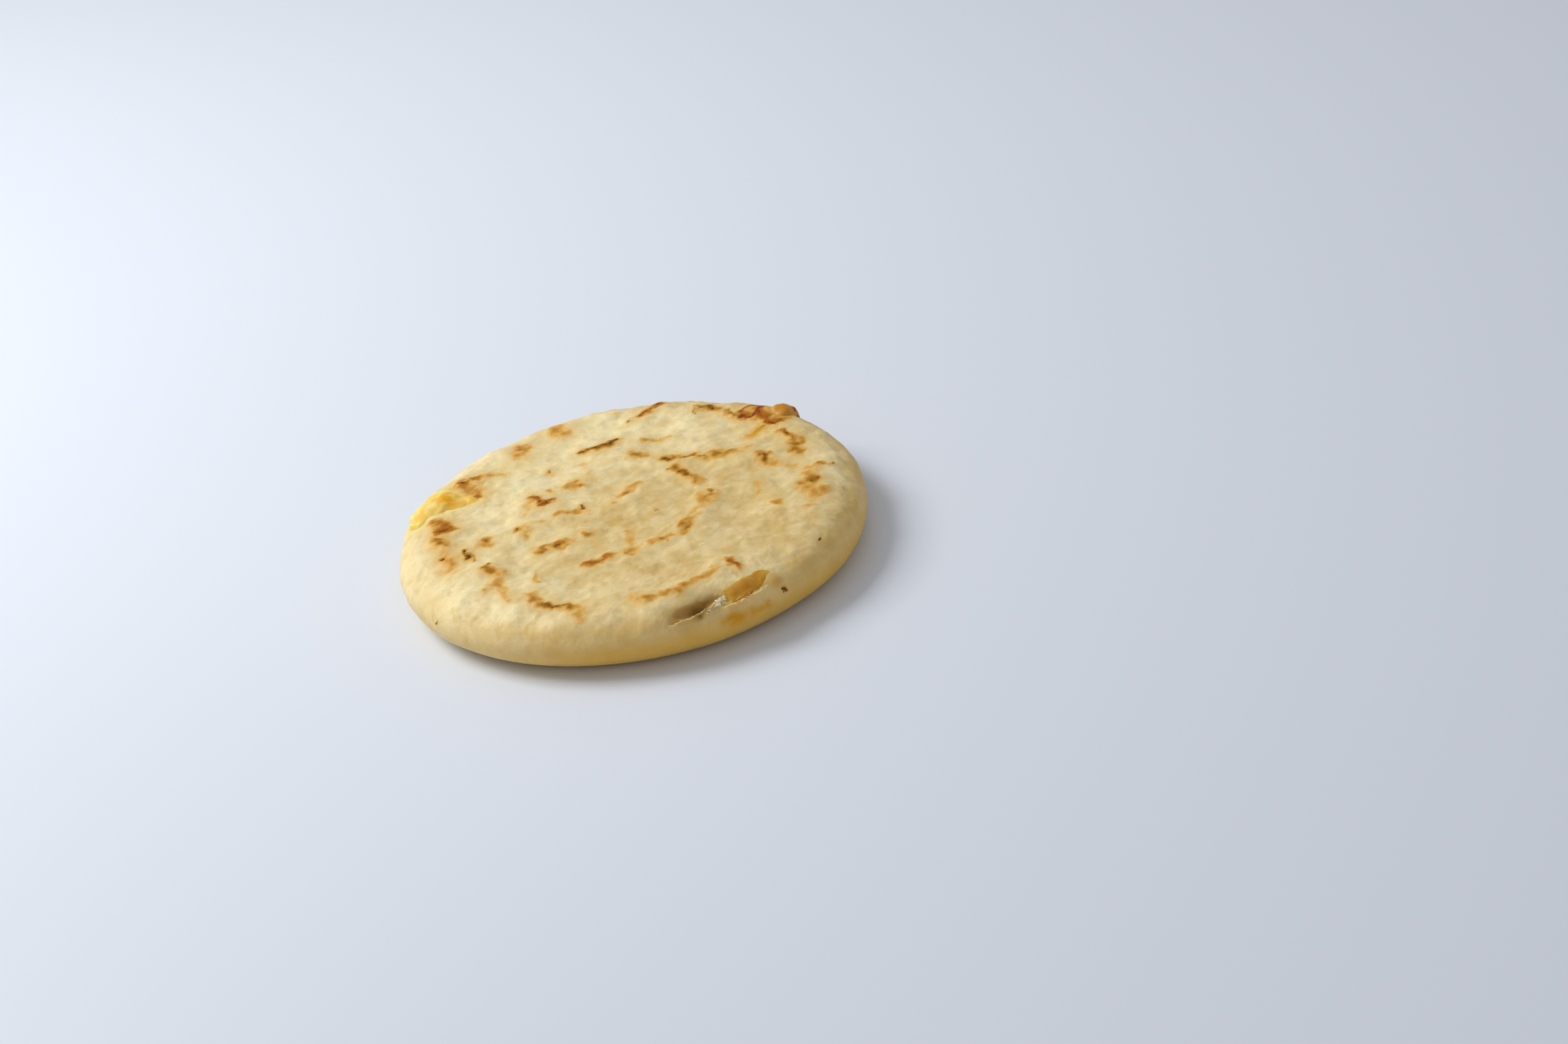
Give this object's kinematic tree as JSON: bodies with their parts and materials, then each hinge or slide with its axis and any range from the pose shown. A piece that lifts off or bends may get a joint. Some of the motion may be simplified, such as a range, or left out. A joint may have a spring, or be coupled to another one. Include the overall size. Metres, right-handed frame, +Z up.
{
  "type": "pupusa",
  "caption": "Thick round griddled corn flatbread, closed round a cheese filling that has burst through the rim and the top.",
  "frame": {"origin": "middle of the flat underside", "axes": "+Z up through the cake's thickness, -Y towards the open slit in the rim, +X to its right"},
  "size_m": [0.1197, 0.12, 0.016],
  "materials": {
    "corn_dough": "moist griddled corn dough, pale cream with tan and dark brown griddle marks",
    "cheese": "melted yellow cheese, soft gloss"
  },
  "bodies": {
    "root": {"masa_dough": "corn_dough", "cheese_filling": "cheese"}
  },
  "joints": []
}
